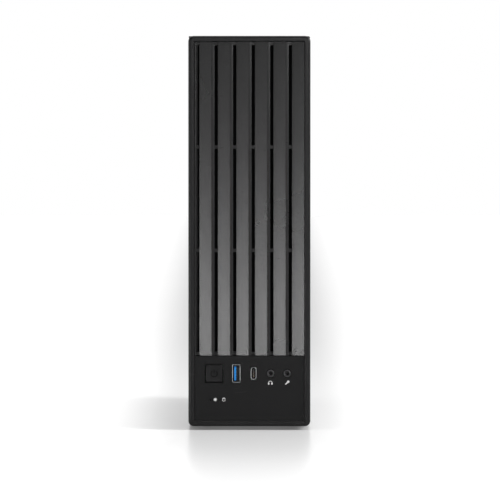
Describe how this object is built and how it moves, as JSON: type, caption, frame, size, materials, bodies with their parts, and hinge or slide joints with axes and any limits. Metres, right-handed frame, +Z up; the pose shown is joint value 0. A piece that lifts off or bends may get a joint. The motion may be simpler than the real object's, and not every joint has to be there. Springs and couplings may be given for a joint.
{
  "type": "micro atx pc case",
  "caption": "Slim upright computer case with louvred front, control panel, sockets, sliding side cover and fan.",
  "frame": {"origin": "centre of the overall box, on the plane that the feet stand on", "axes": "-Y out of the louvred front, +X to the right of someone facing the front, +Z up"},
  "size_m": [0.098, 0.4036, 0.3163],
  "materials": {
    "body_paint": "fine satin black powder coat",
    "bare_steel": "galvanised sheet",
    "bright_screws": "zinc plated",
    "dark_screws": "black zinc",
    "foot_rubber": "matt",
    "brass": "machined",
    "fan_plastic": "moulded",
    "bezel_plastic": "satin moulded",
    "louvre_plastic": "fine textured moulded",
    "panel_plastic": "satin moulded",
    "button_plastic": "satin moulded",
    "switch_plastic": "moulded",
    "port_metal": "nickel plated",
    "blue_plastic": "moulded",
    "port_plastic": "moulded",
    "socket_plastic": "moulded",
    "clear_plastic": "clear",
    "lamp_white": "moulded",
    "circuit_lacquer": "green lacquer",
    "filter_foam": "open-cell foam"
  },
  "bodies": {
    "chassis": {"chassis_shell": "body_paint", "rear_panel": "bare_steel", "slot_cover_1": "bare_steel", "slot_cover_2": "bare_steel", "slot_cover_3": "bare_steel", "slot_cover_4": "bare_steel", "slot_screws": "bright_screws", "front_plate": "bare_steel", "rubber_foot_front_left": "foot_rubber", "rubber_foot_front_right": "foot_rubber", "rubber_foot_rear_left": "foot_rubber", "rubber_foot_rear_right": "foot_rubber", "motherboard_standoffs": "brass", "drive_cage": "bare_steel", "cage_screws": "bright_screws", "power_supply_stop": "bare_steel", "fan_frame": "fan_plastic", "fan_screws": "bright_screws", "front_bezel": "bezel_plastic", "louvre_grille": "louvre_plastic", "control_panel": "panel_plastic", "power_switch": "switch_plastic", "wide_port_shell": "port_metal", "wide_port_tongue": "blue_plastic", "small_port_shell": "port_metal", "small_port_tongue": "port_plastic", "headphone_socket": "socket_plastic", "microphone_socket": "socket_plastic", "power_light_pipe": "clear_plastic", "drive_light_pipe": "clear_plastic", "power_light_lamp": "lamp_white", "drive_light_lamp": "lamp_white", "socket_board": "circuit_lacquer", "socket_board_screws": "bright_screws", "lead_header": "port_plastic", "header_pins": "brass", "rear_flanges": "bare_steel", "slot_ledge": "bare_steel", "dust_filter": "filter_foam"},
    "cover": {"side_cover": "body_paint", "cover_thumbscrews": "dark_screws"},
    "button": {"power_button": "button_plastic", "switch_plunger": "switch_plastic"},
    "rotor": {"fan_rotor": "fan_plastic"}
  },
  "joints": [
    {"name": "cover_slide", "type": "slide", "parent": "chassis", "child": "cover", "axis": [0, 1, 0], "range_m": [0, 0.015]},
    {"name": "button_press", "type": "slide", "parent": "chassis", "child": "button", "axis": [0, 1, 0], "range_m": [0, 0.0015], "stiffness_N_per_m": 1000, "springref_m": -0.0003},
    {"name": "fan_spin", "type": "hinge", "parent": "chassis", "child": "rotor", "pos_m": [0, -0.1578, 0.113], "axis": [0, 1, 0], "continuous": true}
  ]
}
